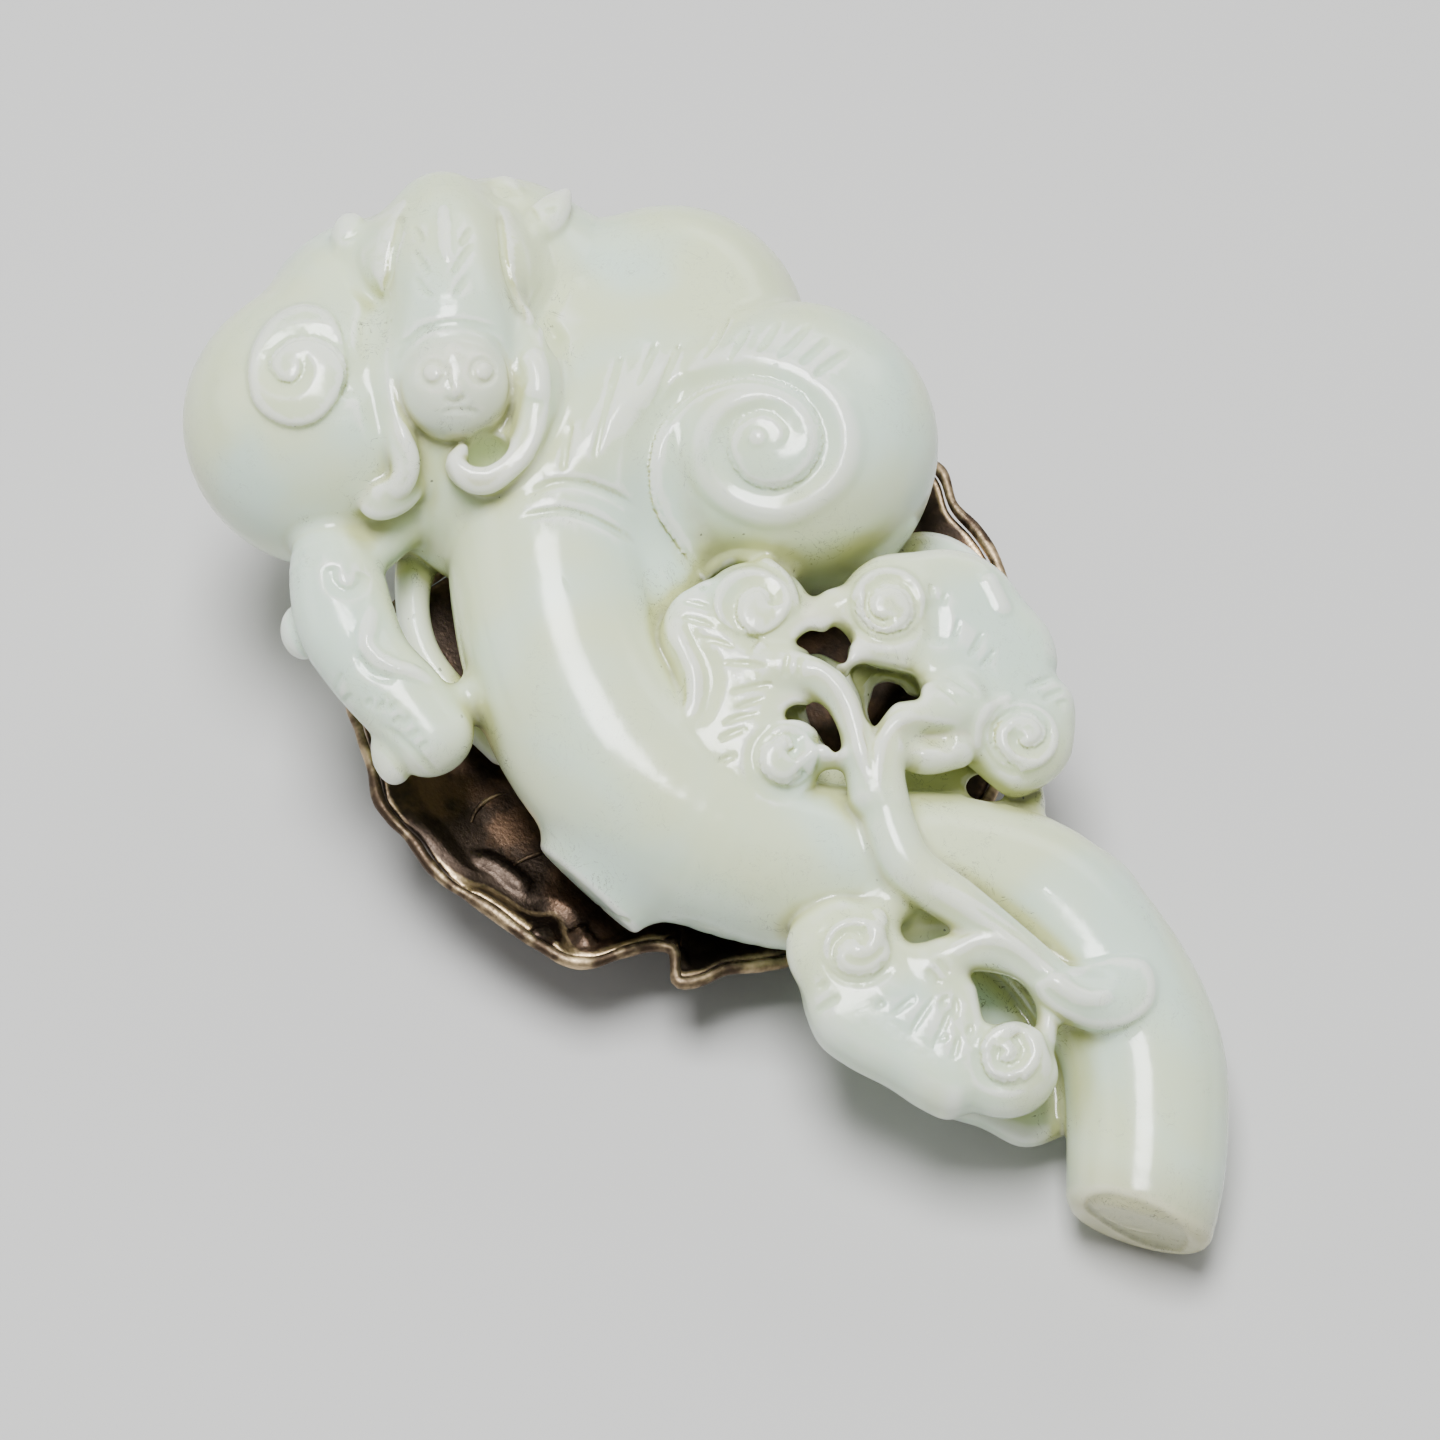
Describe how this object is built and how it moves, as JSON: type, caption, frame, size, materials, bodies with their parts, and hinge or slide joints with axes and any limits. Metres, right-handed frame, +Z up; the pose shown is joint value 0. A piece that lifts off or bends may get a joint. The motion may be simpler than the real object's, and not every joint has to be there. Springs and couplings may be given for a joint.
{
  "type": "jade carving on a leaf stand",
  "caption": "Pale jade carving of a branching lingzhi fungus with a bat on its cap, lying tilted on a shallow bronze leaf with a rolled rim.",
  "frame": {"origin": "on the ground under the middle of the bounding box", "axes": "+X along the carving from the cap to the cut stem end, +Y across it away from the side bud, +Z up"},
  "size_m": [0.1176, 0.0632, 0.041],
  "materials": {
    "jade": "polished pale celadon nephrite",
    "bronze": "dark patinated bronze with a rubbed golden rim"
  },
  "bodies": {
    "root": {"jade_carving": "jade", "leaf_stand": "bronze"}
  },
  "joints": []
}
